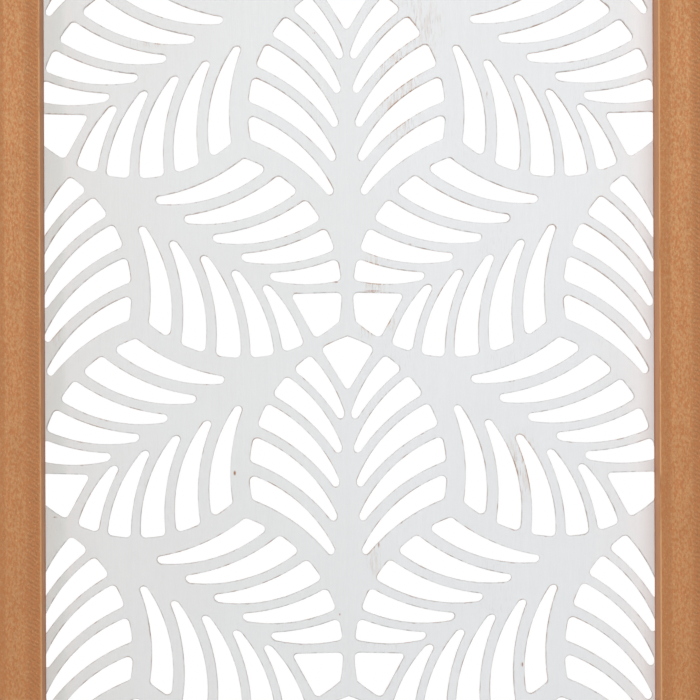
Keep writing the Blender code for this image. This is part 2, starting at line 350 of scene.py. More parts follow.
@dataclass(frozen=True)
class Whitewash:
    """Thin white paint over brown wood, abraded through here and there, with painted light and shade
    beside the left bar.
    """

    name: str = "whitewashed_wood"
    paint: Colour = linear(227, 229, 231)
    dull_paint: Colour = linear(221, 221, 220)
    rubbed_and_shaded_paint: Colour = linear(205, 186, 170)
    painted_light_strip_colour: Colour = linear(224, 229, 228)
    grain_line: Colour = linear(188, 184, 182)
    rim_line: Colour = linear(158, 134, 118)
    cool_line: Colour = linear(158, 160, 162)
    bare_wood: Colour = linear(158, 104, 66)
    cut_wood: Colour = linear(186, 138, 112)
    dusty_cut: Colour = linear(170, 166, 158)
    painted_cut: Colour = linear(226, 224, 222)
    roughness: float = 0.62
    spot_depth: float = 0.0016
    relief_depth: float = 0.00004
    clouds: Grain = Grain((9.0, 14.0, 14.0), 3.0, 1.0)
    streaks: Grain = Grain((24.0, 620.0, 620.0), 3.0, 2.0)
    fibres: Grain = Grain((150.0, 1500.0, 1500.0), 2.0, 3.0)
    patches: Grain = Grain((14.0, 20.0, 20.0), 2.0, 4.0)
    dashes: Grain = Grain((130.0, 700.0, 700.0), 2.0, 5.0)
    stretches: Grain = Grain((170.0, 170.0, 90.0), 2.0, 6.0)
    dabs: Grain = Grain((260.0, 260.0, 120.0), 2.0, 7.0)
    scuffs: Grain = Grain((110.0, 260.0, 260.0), 2.0, 8.0)
    cloud_share: float = 0.9
    dull_share: float = 0.2
    streak_swing: float = 0.045
    fibre_swing: float = 0.055
    overhang_loss: float = 0.65
    rim_greying: float = 0.14
    rightward_lightening: Step = Step(-0.17, 0.11, 0.75)
    painted_light_strip: Step = Step(-0.1610, -0.1660)
    thin_patches: Step = Step(0.50, 0.72, 0.35)
    open_grain: Step = Step(0.54, 0.70, 0.75)
    knot_grain: Step = Step(0.36, 0.52)
    rim: Step = Step(0.26, 0.95)
    scuffed_rim: Step = Step(0.38, 0.66, 0.74)
    browned_rim: Step = Step(0.60, 0.72, 0.50)
    cool_rim: Step = Step(0.42, 0.56)
    rubbed_face: Step = Step(0.48, 0.62, 0.30)
    rubbed_rim: Step = Step(0.40, 0.56)
    bared_rim: Step = Step(0.48, 0.60, 0.80)
    dusty_dabs: Step = Step(0.30, 0.55)
    painted_stretches: Step = Step(0.40, 0.58, 0.85)
    worn_and_shaded: tuple[SheetSpot, ...] = (
        SheetSpot(0.040, 0.186, 0.020, 0.028, 0.8),
        SheetSpot(0.029, 0.150, 0.018, 0.046, 1.0),
        SheetSpot(0.016, 0.044, 0.012, 0.018, 1.0),
        SheetSpot(0.099, -0.066, 0.014, 0.026, 1.0),
        SheetSpot(0.010, 0.010, 0.007, 0.006, 1.0),
        SheetSpot(0.024, 0.016, 0.004, 0.008, 1.0),
        SheetSpot(0.014, -0.120, 0.006, 0.014, 0.9),
        SheetSpot(-0.112, 0.176, 0.009, 0.003, 0.9),
        # Painted shade: this spot darkens and browns the sheet beside the left bar, where that bar's
        # shadow falls.
        SheetSpot(-0.169, 0.010, 0.008, 0.012, 0.5),
    )
    knots: tuple[SheetSpot, ...] = (
        SheetSpot(0.0797, 0.1463, 0.0007, 0.0028, 0.6),
        SheetSpot(-0.0662, -0.0705, 0.0010, 0.0019, 1.0),
        SheetSpot(0.0987, -0.1812, 0.0011, 0.0018, 0.9),
        SheetSpot(0.1008, -0.1838, 0.0008, 0.0030, 0.9),
        SheetSpot(0.0165, -0.1120, 0.0008, 0.0022, 0.7),
        SheetSpot(-0.0198, 0.1823, 0.0012, 0.0009, 0.8),
        SheetSpot(-0.1695, -0.0955, 0.0016, 0.0006, 0.7),
        SheetSpot(0.1215, 0.1547, 0.0007, 0.0006, 0.9),
        SheetSpot(-0.0060, -0.1520, 0.0009, 0.0009, 0.8),
        SheetSpot(0.0135, 0.0339, 0.0062, 0.0009, 0.6),
        SheetSpot(-0.0075, 0.0391, 0.0016, 0.0007, 0.8),
        SheetSpot(0.0351, 0.0607, 0.0014, 0.0006, 0.8),
        SheetSpot(-0.0305, 0.0328, 0.0018, 0.0006, 0.7),
    )

    def cut_colour(self, nodes: ShaderNodes, place: Socket) -> Socket:
        """Return the colour of the slots' walls.

        Args:
            nodes: The material's nodes.
            place: The place on the sheet.

        Returns:
            Brown wood under thin paint, dusty where the wall faces up.
        """
        dabs = nodes.span(nodes.noise(place, self.dabs), self.dusty_dabs)
        dusty = nodes.product(nodes.amount("faces_up"), dabs)
        colour = nodes.blend(dusty, self.cut_wood, self.dusty_cut)
        painted = nodes.span(nodes.noise(place, self.stretches), self.painted_stretches)
        return nodes.blend(painted, colour, self.painted_cut)

    def material(self) -> bpy.types.Material:
        """Return the paint's material."""
        nodes = ShaderNodes(self.name)
        place = nodes.place("grain_place")
        across = nodes.parts(place)[1]
        streaks = nodes.noise(place, self.streaks)
        fibres = nodes.noise(place, self.fibres)
        patches = nodes.noise(place, self.patches)
        dashes = nodes.noise(place, self.dashes)
        scuffs = nodes.noise(place, self.scuffs)
        clouds = nodes.noise(place, self.clouds)
        # Lighter towards the right and duller towards the left, with clouds over it.
        rightward = nodes.math("SUBTRACT", nodes.span(across, self.rightward_lightening), self.dull_share)
        lightness = nodes.math("MULTIPLY_ADD", clouds, self.cloud_share, rightward)
        colour = nodes.blend(lightness, self.dull_paint, self.paint)
        # Painted light: the strip beside the left bar is painted lighter and cooler, against the
        # shade and warm bounce that bar casts on it.
        colour = nodes.blend(nodes.span(across, self.painted_light_strip), colour, self.painted_light_strip_colour)
        colour = nodes.lighten(colour, streaks, self.streak_swing)
        colour = nodes.lighten(colour, fibres, self.fibre_swing)
        # Besides real paint loss, these masks carry the painted shade of the last spot beside the
        # left bar.
        worn_and_shaded = nodes.most(*[spot.mask(nodes, place, self.spot_depth) for spot in self.worn_and_shaded])
        thin = nodes.most(worn_and_shaded, nodes.span(patches, self.thin_patches))
        lines = nodes.product(thin, nodes.span(fibres, self.open_grain))
        colour = nodes.blend(lines, colour, self.grain_line)
        near_cut = nodes.amount("near_cut")
        rim = nodes.span(near_cut, self.rim)
        colour = nodes.blend(nodes.product(rim, self.rim_greying), colour, self.grain_line)
        overhang = nodes.math("MULTIPLY_ADD", nodes.amount("faces_up"), -self.overhang_loss, 1.0)
        scuffed = nodes.product(rim, overhang, nodes.span(scuffs, self.scuffed_rim))
        line = nodes.blend(nodes.span(patches, self.cool_rim), self.rim_line, self.cool_line)
        colour = nodes.blend(scuffed, colour, line)
        browned = nodes.product(rim, nodes.span(scuffs, self.browned_rim))
        colour = nodes.blend(browned, colour, self.bare_wood)
        rub_and_shade = nodes.product(worn_and_shaded, nodes.span(dashes, self.rubbed_face))
        edge_rub = nodes.product(near_cut, worn_and_shaded, nodes.span(dashes, self.rubbed_rim))
        colour = nodes.blend(nodes.most(rub_and_shade, edge_rub), colour, self.rubbed_and_shaded_paint)
        bare = nodes.product(worn_and_shaded, rim, nodes.span(dashes, self.bared_rim))
        knots = nodes.most(*[spot.mask(nodes, place, self.spot_depth) for spot in self.knots])
        knotted = nodes.product(knots, nodes.span(fibres, self.knot_grain))
        colour = nodes.blend(nodes.most(bare, knotted), colour, self.bare_wood)
        colour = nodes.blend(nodes.amount("cut_face"), colour, self.cut_colour(nodes, place))
        nodes.feed(nodes.shader.inputs["Base Color"], colour)
        nodes.feed(nodes.shader.inputs["Roughness"], self.roughness)
        nodes.bump(nodes.math("ADD", streaks, fibres), self.relief_depth)
        return nodes.material


@dataclass(frozen=True)
class StainedWood:
    """Warm brown stain on a straight-grained wood, with saw marks along one edge and painted shade
    towards the foot and near the sheet on the inner walls.
    """

    name: str = "stained_wood"
    orange: Colour = linear(189, 122, 75)
    ochre: Colour = linear(201, 152, 104)
    deep: Colour = linear(172, 112, 68)
    pale: Colour = linear(222, 175, 128)
    pore: Colour = linear(150, 96, 60)
    wall: Colour = linear(204, 146, 105)
    shaded_wall: Colour = linear(184, 120, 84)
    roughness: float = 0.72
    gloss: float = 0.25
    relief_depth: float = 0.00006
    blotches: Grain = Grain((480.0, 900.0, 900.0), 2.0, 11.0)
    flecks: Grain = Grain((1100.0, 1800.0, 1800.0), 1.0, 12.0)
    streaks: Grain = Grain((20.0, 420.0, 300.0), 3.0, 13.0)
    bands: Grain = Grain((2.0, 150.0, 120.0), 2.0, 14.0)
    patches: Grain = Grain((50.0, 110.0, 110.0), 2.0, 15.0)
    fleck_swing: float = 0.38
    streak_swing: float = 0.20
    band_swing: float = 0.16
    patch_swing: float = 0.18
    wall_streak_swing: float = 0.30
    wall_fleck_swing: float = 0.15
    saw_pitch: float = 0.0026
    saw_slant: float = 0.55
    saw_wander: float = 16.0
    saw_jitter: float = 9.0
    saw_share: float = 0.14
    band_saw_share: float = 0.60
    band_shade: float = 0.45
    saw_relief: float = 0.5
    ochre_blotches: Step = Step(0.34, 0.66)
    broken_marks: Step = Step(0.36, 0.60)
    band_start: Step = Step(0.0002, 0.0022)
    band_end: Step = Step(0.0107, 0.0057)
    outer_strip: Step = Step(0.0195, 0.0215, 0.50)
    painted_foot_shade: Step = Step(0.20, -0.20, 0.30)
    pale_flecks: Step = Step(0.66, 0.80, 0.55)
    dark_flecks: Step = Step(0.34, 0.22, 0.45)
    shade_near_sheet: Step = Step(0.55, 0.85)
    pale_arris: Step = Step(0.20, 0.50, 0.75)

    def material(self, bar_depth: float) -> bpy.types.Material:
        """Return the stain's material.

        Args:
            bar_depth: The depth of a bar.

        Returns:
            The material.
        """
        nodes = ShaderNodes(self.name)
        place = nodes.place("grain_place")
        along, across, depth = nodes.parts(place)
        blotches = nodes.noise(place, self.blotches)
        flecks = nodes.noise(place, self.flecks)
        streaks = nodes.noise(place, self.streaks)
        bands = nodes.noise(place, self.bands)
        patches = nodes.noise(place, self.patches)
        colour = nodes.blend(nodes.span(blotches, self.ochre_blotches), self.orange, self.ochre)
        colour = nodes.lighten(colour, flecks, self.fleck_swing)
        colour = nodes.lighten(colour, streaks, self.streak_swing)
        colour = nodes.lighten(colour, bands, self.band_swing)
        colour = nodes.lighten(colour, patches, self.patch_swing)
        slanted = nodes.math("MULTIPLY_ADD", across, -self.saw_slant, along)
        turns = nodes.math("MULTIPLY", slanted, math.tau / self.saw_pitch)
        turns = nodes.math("MULTIPLY_ADD", patches, self.saw_wander, turns)
        turns = nodes.math("MULTIPLY_ADD", blotches, self.saw_jitter, turns)
        saw = nodes.math("MULTIPLY_ADD", nodes.math("SINE", turns), 0.5, 0.5)
        broken = nodes.product(saw, nodes.span(blotches, self.broken_marks))
        band = nodes.product(nodes.span(across, self.band_start), nodes.span(across, self.band_end))
        strength = nodes.math("MULTIPLY_ADD", band, self.band_saw_share, self.saw_share)
        marks = nodes.product(strength, broken)
        # Painted shade: the stain darkens towards the foot of the panel, as the light from above
        # falls off.
        low = nodes.span(nodes.amount("height"), self.painted_foot_shade)
        colour = nodes.blend(low, colour, self.deep)
        strip = nodes.span(across, self.outer_strip)
        shade = nodes.most(nodes.product(band, self.band_shade), strip)
        colour = nodes.blend(shade, colour, self.deep)
        colour = nodes.blend(marks, colour, self.pore)
        colour = nodes.blend(nodes.span(flecks, self.pale_flecks), colour, self.pale)
        colour = nodes.blend(nodes.span(flecks, self.dark_flecks), colour, self.pore)
        deepness = nodes.math("DIVIDE", depth, bar_depth)
        # Painted shade: the inner wall darkens towards the sheet, in the recess where the bar meets
        # it.
        wall = nodes.blend(nodes.span(deepness, self.shade_near_sheet), self.wall, self.shaded_wall)
        wall = nodes.lighten(wall, streaks, self.wall_streak_swing)
        wall = nodes.lighten(wall, flecks, self.wall_fleck_swing)
        colour = nodes.blend(nodes.amount("opening_side"), colour, wall)
        # Paler in patches along the rounded arris.
        arris = nodes.product(nodes.amount("on_arris"), nodes.span(patches, self.pale_arris))
        colour = nodes.blend(arris, colour, self.pale)
        nodes.feed(nodes.shader.inputs["Base Color"], colour)
        nodes.feed(nodes.shader.inputs["Roughness"], self.roughness)
        nodes.feed(nodes.shader.inputs["Specular IOR Level"], self.gloss)
        grain = nodes.math("ADD", streaks, flecks)
        relief = nodes.math("MULTIPLY_ADD", marks, -self.saw_relief, grain)
        nodes.bump(relief, self.relief_depth)
        return nodes.material


@dataclass(frozen=True)
class PaleFloor:
    """A matt off-white floor."""

    name: str = "pale_floor"
    tone: Colour = linear(235, 235, 234)
    roughness: float = 0.8
    clouds: Grain = Grain((1.5, 1.5, 1.5), 2.0, 21.0)
    cloud_swing: float = 0.03

    def material(self) -> bpy.types.Material:
        """Return the floor's material."""
        nodes = ShaderNodes(self.name)
        place = nodes.add("ShaderNodeTexCoord").outputs["Object"]
        colour = nodes.lighten(self.tone, nodes.noise(place, self.clouds), self.cloud_swing)
        nodes.feed(nodes.shader.inputs["Base Color"], colour)
        nodes.feed(nodes.shader.inputs["Roughness"], self.roughness)
        return nodes.material


def new_piece(
    name: str,
    corners: list[Triple],
    faces: list[tuple[int, ...]],
    sharp_angle: float,
    amounts: dict[str, list[float]],
    places: list[Triple],
) -> bpy.types.Object:
    """Make a smooth-shaded piece from its corners and faces.

    Args:
        name: The piece's name.
        corners: The corners' places.
        faces: The corners of each face, by number.
        sharp_angle: The angle in degrees from which an edge is sharp.
        amounts: Numbers that each corner keeps for the finish, by name.
        places: Each corner's place for the grain: along it, across it and through it.

    Returns:
        The piece, linked into the scene.
    """
    mesh = bpy.data.meshes.new(name)
    mesh.from_pydata(corners, [], faces)
    mesh.validate()
    for kept, numbers in amounts.items():
        mesh.attributes.new(kept, "FLOAT", "POINT").data.foreach_set("value", numbers)
    flat = [number for place in places for number in place]
    mesh.attributes.new("grain_place", "FLOAT_VECTOR", "POINT").data.foreach_set("vector", flat)
    shape = bmesh.new()
    shape.from_mesh(mesh)
    bmesh.ops.recalc_face_normals(shape, faces=shape.faces)
    shape.to_mesh(mesh)
    shape.free()
    mesh.shade_smooth()
    mesh.set_sharp_from_angle(angle=math.radians(sharp_angle))
    piece = bpy.data.objects.new(name, mesh)
    bpy.context.scene.collection.objects.link(piece)
    return piece


class Edge:
    """One side of a slot: a circular arc, or a straight line where the radius is None."""

    def __init__(self, start: complex, end: complex, radius: float | None = None) -> None:
        """Keep the side's chord and half the angle it turns through.

        Args:
            start: Where the side starts.
            end: Where it ends.
            radius: Its radius; a positive one bends it to the left.
        """
        self.start = start
        self.chord = end - start
        self.half_turn = math.asin(abs(self.chord) / 2 / radius) if radius else 0.0

    def length(self) -> float:
        """Return the distance along the side."""
        if not self.half_turn:
            return abs(self.chord)
        return abs(self.chord) * self.half_turn / math.sin(self.half_turn)

    def point(self, share: float) -> complex:
        """Return the point at a share of the way along, from 0 to 1."""
        if not self.half_turn:
            return self.start + self.chord * share
        reach = math.sin(share * self.half_turn) / math.sin(self.half_turn)
        return self.start + self.chord * reach * cmath.exp(1j * (share - 1) * self.half_turn)

    def heading(self, share: float) -> complex:
        """Return the direction of travel at a share of the way along."""
        return self.chord * cmath.exp(1j * (2 * share - 1) * self.half_turn)


@dataclass(frozen=True)
class PanelSizes:
    """The panel's main sizes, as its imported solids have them."""

    low: Vector
    high: Vector
    bar_width: float
    sheet_thickness: float
    sheet_half_width: float
    sheet_half_height: float
    rebate_width: float = 0.008
    fit_gap: float = 0.0003

    @classmethod
    def measured(cls) -> "PanelSizes":
        """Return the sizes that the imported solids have."""
        low, high = CAD_BOX
        stile_low, stile_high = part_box("left_stile")
        sheet_low, sheet_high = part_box("fretwork_sheet")
        sheet = sheet_high - sheet_low
        width = stile_high.x - stile_low.x
        return cls(low, high, width, sheet.y, sheet.x / 2, sheet.z / 2)

    @property
    def middle(self) -> Vector:
        """Return the middle of the panel's back."""
        centre = (self.low + self.high) / 2
        return Vector((centre.x, self.high.y, centre.z))

    @property
    def depth(self) -> float:
        """Return the depth of a bar."""
        return self.high.y - self.low.y

    @property
    def opening_width(self) -> float:
        """Return the width between the stiles."""
        return self.high.x - self.low.x - 2 * self.bar_width

    @property
    def opening_height(self) -> float:
        """Return the height between the rails."""
        return self.high.z - self.low.z - 2 * self.bar_width


@dataclass(frozen=True)
class LeafPattern:
    """The palm leaves: three meet tip to tip at every point of a lattice."""

    row_pitch: float = 0.2070
    column_pitch: float = 0.1810
    turns_deg: tuple[float, ...] = (0.0, 120.0, -120.0)
    offset: complex = complex(-0.0010, 0.01355)
    rim_radius: float = 0.0825
    half_width: float = 0.0561
    tip_clearance: float = 0.00564
    side_clearance: float = 0.00572
    tip_radius: float = 0.0004
    kite_rim: float = 0.01673
    kite_foot: float = 0.0375
    slot_pairs: int = 5
    slot_rim: float = 0.01277
    slot_rim_growth: float = 0.00095
    slot_rim_fading: float = 0.0001165
    kite_rib_rim: float = 0.00718
    rib_rim: float = 0.00518
    rib_rim_growth: float = 0.00036
    rib_rim_spreading: float = 0.0001165
    slot_root: float = 0.0084
    slot_root_loss: float = 0.00047
    kite_rib_root: float = 0.0117
    rib_root: float = 0.01125
    rib_root_growth: float = 0.00047
    midrib_half_width: float = 0.0020
    midrib_taper: float = 0.074
    upper_edge_radius: float = 0.0847
    lower_edge_radius: float = 0.1039
    rim_corner_radius: float = 0.0029
    root_corner_radius: float = 0.00195
    longest_step: float = 0.0030
    corner_steps: int = 5
    margin: float = 0.004
    smallest_shown: float = 0.3
    smallest_slot: float = 0.0025

    @property
    def tip_angle(self) -> float:
        """Return the angle from a rim's widest point to its tip, about the arc's centre."""
        return math.acos(1 - self.half_width / self.rim_radius)

    @property
    def rim_centre(self) -> complex:
        """Return the centre of the arc on the leaf's right."""
        height = self.tip_clearance + self.rim_radius * math.sin(self.tip_angle)
        return complex(self.half_width - self.rim_radius, height)

    def rim_point(self, distance: float) -> complex:
        """Return the point of the rim that is this far along it from the tip."""
        angle = distance / self.rim_radius - self.tip_angle
        return self.rim_centre + cmath.rect(self.rim_radius, angle)

    def midrib_point(self, along: float) -> complex:
        """Return the point on the midrib's edge at this distance from the tips' point."""
        beyond = along - self.kite_foot - self.kite_rib_root
        return complex(self.midrib_half_width + self.midrib_taper * beyond, along)

    def drawn_pitch(self) -> float:
        """Return the pitch at which leaves of this size keep their clearances."""
        centre = self.rim_centre
        reach = centre.imag + centre.real / math.sqrt(3)
        excess = abs(centre) ** 2 - (self.rim_radius + self.side_clearance) ** 2
        return 1.5 * (reach + math.sqrt(reach**2 - excess * 4 / 3))

    def rounded(self, sides: list[Edge], radii: list[float]) -> Loop:
        """Join a slot's sides with rounded corners.

        Args:
            sides: The slot's sides, in order.
            radii: The radius of the corner at each side's start.

        Returns:
            The slot's outline.
        """
        count = len(sides)
        shares = []
        for index, side in enumerate(sides):
            turn = cmath.phase(side.heading(0) / sides[index - 1].heading(1))
            shares.append(abs(radii[index] * math.tan(turn / 2)))
        spans = []
        for index, side in enumerate(sides):
            begin = shares[index] / side.length()
            end = 1 - shares[(index + 1) % count] / side.length()
            spans.append((begin, max(begin, end)))
        points = []
        for index, side in enumerate(sides):
            begin, end = spans[index]
            steps = max(2, math.ceil(side.length() * (end - begin) / self.longest_step))
            points += [side.point(begin + (end - begin) * step / steps) for step in range(steps + 1)]
            after = sides[(index + 1) % count]
            after_begin = spans[(index + 1) % count][0]
            corner = Edge(points[-1], after.point(after_begin))
            corner.half_turn = cmath.phase(after.heading(after_begin) / side.heading(end)) / 2
            points += [
                corner.point(step / self.corner_steps) for step in range(1, self.corner_steps)
            ]
        return points

    def kite(self) -> Loop:
        """Return the slot that fills the leaf's tip."""
        tip = self.rim_point(0)
        right = self.rim_point(self.kite_rim)
        left = -right.conjugate()
        foot = complex(0, self.kite_foot)
        sides = [
            Edge(tip, right, self.rim_radius),
            Edge(right, foot),
            Edge(foot, left),
            Edge(left, tip, self.rim_radius),
        ]
        rim_corner, foot_corner = self.rim_corner_radius, self.root_corner_radius
        return self.rounded(sides, [self.tip_radius, rim_corner, foot_corner, rim_corner])

    def side_slots(self) -> list[Loop]:
        """Return the slots on the right of the midrib, from the kite on."""
        outlines = []
        rim = self.kite_rim + self.kite_rib_rim
        root = self.kite_foot + self.kite_rib_root
        for index in range(self.slot_pairs):
            rim_end = rim + self.slot_rim + self.slot_rim_growth * index
            rim_end -= self.slot_rim_fading * index**2
            root_end = root + self.slot_root - self.slot_root_loss * index
            inner, outer = self.midrib_point(root), self.rim_point(rim)
            outer_end, inner_end = self.rim_point(rim_end), self.midrib_point(root_end)
            sides = [
                Edge(inner, outer, self.upper_edge_radius),
                Edge(outer, outer_end, self.rim_radius),
                Edge(outer_end, inner_end, -self.lower_edge_radius),
                Edge(inner_end, inner),
            ]
            root_corner, rim_corner = self.root_corner_radius, self.rim_corner_radius
            radii = [root_corner, rim_corner, rim_corner, root_corner]
            outlines.append(self.rounded(sides, radii))
            rim = rim_end + self.rib_rim + self.rib_rim_growth * index
            rim += self.rib_rim_spreading * index**2
            root = root_end + self.rib_root + self.rib_root_growth * index
        return outlines

    def leaf(self) -> list[Loop]:
        """Return the slots of one leaf."""
        right = self.side_slots()
        left = [[-point.conjugate() for point in outline] for outline in right]
        return [self.kite(), *right, *left]

    def placed(self, outline: Loop, meeting_point: complex, turn_deg: float) -> Loop:
        """Return a slot of the leaf in its place on the panel.

        Args:
            outline: The slot, as drawn.
            meeting_point: Where the three tips meet.
            turn_deg: The leaf's turn about that point.

        Returns:
            The slot's outline, turned and fitted to the pitches.
        """
        turn = cmath.exp(1j * math.radians(turn_deg))
        wider = self.column_pitch / (self.drawn_pitch() * math.sin(math.radians(60)))
        higher = self.row_pitch / self.drawn_pitch()
        turned = [point.conjugate() * turn for point in outline]
        return [meeting_point + complex(p.real * wider, p.imag * higher) for p in turned]

    def slots(self, sheet: complex, opening: complex) -> list[Loop]:
        """Return every slot of the panel, about the middle of the opening.

        Args:
            sheet: The sheet's upper right corner.
            opening: The opening's upper right corner.

        Returns:
            The slots' outlines, anticlockwise, kept off the sheet's margin.
        """
        slotted = sheet - complex(self.margin, self.margin)
        columns = math.ceil(sheet.real / self.column_pitch) + 1
        rows = math.ceil(sheet.imag / self.row_pitch) + 1
        outlines = []
        for column in range(-columns, columns + 1):
            for row in range(-rows, rows + 1):
                across = column * self.column_pitch
                up = (row + column % 2 / 2) * self.row_pitch
                for turn_deg in self.turns_deg:
                    for slot in self.leaf():
                        placed = self.placed(slot, self.offset + complex(across, up), turn_deg)
                        if self.shows_enough(placed, opening):
                            pieces = cut_to(placed, slotted)
                            outlines += [anticlockwise(p) for p in pieces if self.is_kept(p)]
        return outlines

    def shows_enough(self, outline: Loop, opening: complex) -> bool:
        """Tell whether the bars leave enough of a slot in sight for it to be cut."""
        shown = sum(abs(area_within(piece)) for piece in cut_to(outline, opening))
        return shown > self.smallest_shown * abs(area_within(outline))

    def is_kept(self, outline: Loop) -> bool:
        """Tell whether what is left of a slot is large enough to be cut."""
        across = [point.real for point in outline]
        up = [point.imag for point in outline]
        return min(max(across) - min(across), max(up) - min(up)) > self.smallest_slot


def area_within(outline: Loop) -> float:
    """Return the area within a closed outline, negative where it runs clockwise."""
    following = outline[1:] + outline[:1]
    return sum((here.conjugate() * after).imag for here, after in zip(outline, following)) / 2


def anticlockwise(outline: Loop) -> Loop:
    """Return a closed outline with its points in anticlockwise order."""
    return outline if area_within(outline) > 0 else outline[::-1]


def cut_to(outline: Loop, corner: complex) -> list[Loop]:
    """Return the pieces of an outline that lie within a rectangle about the middle.

    Args:
        outline: The outline.
        corner: The rectangle's upper right corner.

    Returns:
        The pieces.
    """
    pieces = [outline]
    for normal in (1, -1, 1j, -1j):
        limit = corner.real if isinstance(normal, int) else corner.imag
        pieces = [part for piece in pieces for part in cut_off(piece, complex(normal), limit)]
    return pieces


def cut_off(outline: Loop, normal: complex, limit: float) -> list[Loop]:
    """Cut a closed outline along a straight line.

    Args:
        outline: The outline.
        normal: The unit vector square to the line.
        limit: The line's distance from the middle.

    Returns:
        The pieces on the near side of the line.
    """
    depths = [(point * normal.conjugate()).real - limit for point in outline]
    if max(depths) <= 0:
        return [outline]
    if min(depths) >= 0:
        return []
    runs: list[Loop] = []
    crossings = []
    start = depths.index(max(depths))
    for step in range(start, start + len(outline)):
        here = step % len(outline)
        after = (step + 1) % len(outline)
        if depths[here] < 0:
            runs[-1].append(outline[here])
        if (depths[here] < 0) == (depths[after] < 0):
            continue
        share = depths[here] / (depths[here] - depths[after])
        crossing = outline[here] + (outline[after] - outline[here]) * share
        leaving = depths[here] < 0
        if leaving:
            runs[-1].append(crossing)
        else:
            runs.append([crossing])
        crossings.append(((crossing / normal).imag, leaving, len(runs) - 1))
    crossings.sort()
    following = {}
    for first, second in zip(crossings[::2], crossings[1::2]):
        leaver, enterer = (first, second) if first[1] else (second, first)
        following[leaver[2]] = enterer[2]
    pieces = []
    while following:
        first_run, run = following.popitem()
        piece = list(runs[first_run])
        while run != first_run:
            piece += runs[run]
            run = following.pop(run)
        pieces.append(piece)
    return pieces


def widened(outline: Loop, distance: float) -> Loop:
    """Return an anticlockwise outline moved outwards by a distance."""
    count = len(outline)
    moved = []
    for index, point in enumerate(outline):
        before = point - outline[index - 1]
        after = outline[(index + 1) % count] - point
        before /= abs(before)
        after /= abs(after)
        middle = (before + after) / abs(before + after)
        stretch = 1 / max(LEAST_COSINE, (middle * before.conjugate()).real)
        moved.append(point - 1j * middle * distance * stretch)
    return moved


@dataclass
class FretworkSheet:
    """The pierced sheet: flat faces, and slots with cut walls and softened edges."""

    sizes: PanelSizes
    pattern: LeafPattern
    edge_radius: float = 0.00012
    back_edge: float = 0.00010
    rim_width: float = 0.0009
    edge_steps: int = 2
    sharp_angle: float = 50.0

    def rings(self) -> list[tuple[float, float, float, float]]:
        """Return the rings of corners round each slot, from the back to the front.

        Returns:
            For each ring its distance from the slot, its height over the back, and
            how much it is a cut face and near one.
        """
        thickness = self.sizes.sheet_thickness
        rings = [
            (self.rim_width, 0.0, 0.0, 0.0),
            (self.back_edge, 0.0, 0.0, 1.0),
            (0.0, self.back_edge, 1.0, 1.0),
        ]
        for step in range(self.edge_steps + 1):
            angle = math.radians(90) * step / self.edge_steps
            outward = self.edge_radius * (1 - math.cos(angle))
            height = thickness - self.edge_radius * (1 - math.sin(angle))
            rings.append((outward, height, 1.0 if step == 0 else 0.0, 1.0))
        rings.append((self.edge_radius + self.rim_width, thickness, 0.0, 0.0))
        return rings

    def build(self) -> bpy.types.Object:
        """Return the sheet."""
        sizes = self.sizes
        half = complex(sizes.sheet_half_width, sizes.sheet_half_height)
        border = [half, -half.conjugate(), -half, half.conjugate()]
        opening = complex(sizes.opening_width, sizes.opening_height) / 2
        slots = self.pattern.slots(half, opening)
        corners = []
        places = []
        faces = []
        amounts = {"cut_face": [], "near_cut": [], "faces_up": []}

        def add_ring(
            outline: Loop, height: float, cut_share: float, near_share: float, up: list[float]
        ) -> list[int]:
            """Add a ring of corners and return their numbers."""
            first = len(corners)
            for point in outline:
                place = sizes.middle + Vector((point.real, -height, point.imag))
                corners.append(tuple(place))
                places.append((point.imag, point.real, height - sizes.sheet_thickness))
            amounts["cut_face"] += [cut_share] * len(outline)
            amounts["near_cut"] += [near_share] * len(outline)
            amounts["faces_up"] += up
            return list(range(first, len(corners)))

        def join(first: list[int], second: list[int]) -> None:
            """Join two rings of as many corners with a band of faces."""
            for index in range(len(first)):
                after = (index + 1) % len(first)
                faces.append((first[index], first[after], second[after], second[index]))

        rings = self.rings()
        level = [0.0] * len(border)
        back_rings = [add_ring(border, 0.0, 0.0, 0.0, level)]
        front_rings = [add_ring(border, sizes.sheet_thickness, 0.0, 0.0, level)]
        join(back_rings[0], front_rings[0])
        for slot in slots:
            outward_steps = [far - near for near, far in zip(slot, widened(slot, 1.0))]
            up = [0.5 - 0.5 * (step / abs(step)).imag for step in outward_steps]
            bands = [
                add_ring(widened(slot, outward), height, cut_share, near_share, up)
                for outward, height, cut_share, near_share in rings
            ]
            for first, second in zip(bands, bands[1:]):
                join(first, second)
            back_rings.append(bands[0])
            front_rings.append(bands[-1])
        for flat in (back_rings, front_rings):
            faces += filled(corners, flat)
        return new_piece("pierced_sheet", corners, faces, self.sharp_angle, amounts, places)

    def dress(self, piece: bpy.types.Object, finish: Whitewash) -> None:
        """Give the sheet its paint and hang it in the frame.

        Args:
            piece: The sheet.
            finish: Its paint.
        """
        piece.data.materials.append(finish.material())
        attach(piece, "root")
        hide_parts("fretwork_sheet")


def filled(corners: list[Triple], rings: list[list[int]]) -> list[tuple[int, ...]]:
    """Fill the flat area between a border and the rings in it with triangles.

    Args:
        corners: All the corners.
        rings: The numbers of the corners of the border, and then of each ring.

    Returns:
        The triangles' corners, by number.
    """
    numbers = [number for ring in rings for number in ring]
    points = [Vector((corners[number][0], corners[number][2])) for number in numbers]
    loops = []
    first = 0
    for ring in rings:
        loops.append(list(range(first, first + len(ring))))
        first += len(ring)
    divided = delaunay_2d_cdt(points, [], loops, 1, MERGE_DISTANCE)
    triangles = []
    for triangle, loops_around in zip(divided[2], divided[5]):
        if len(loops_around) == 1:
            triangles.append(tuple(numbers[divided[3][corner][0]] for corner in triangle))
    return triangles


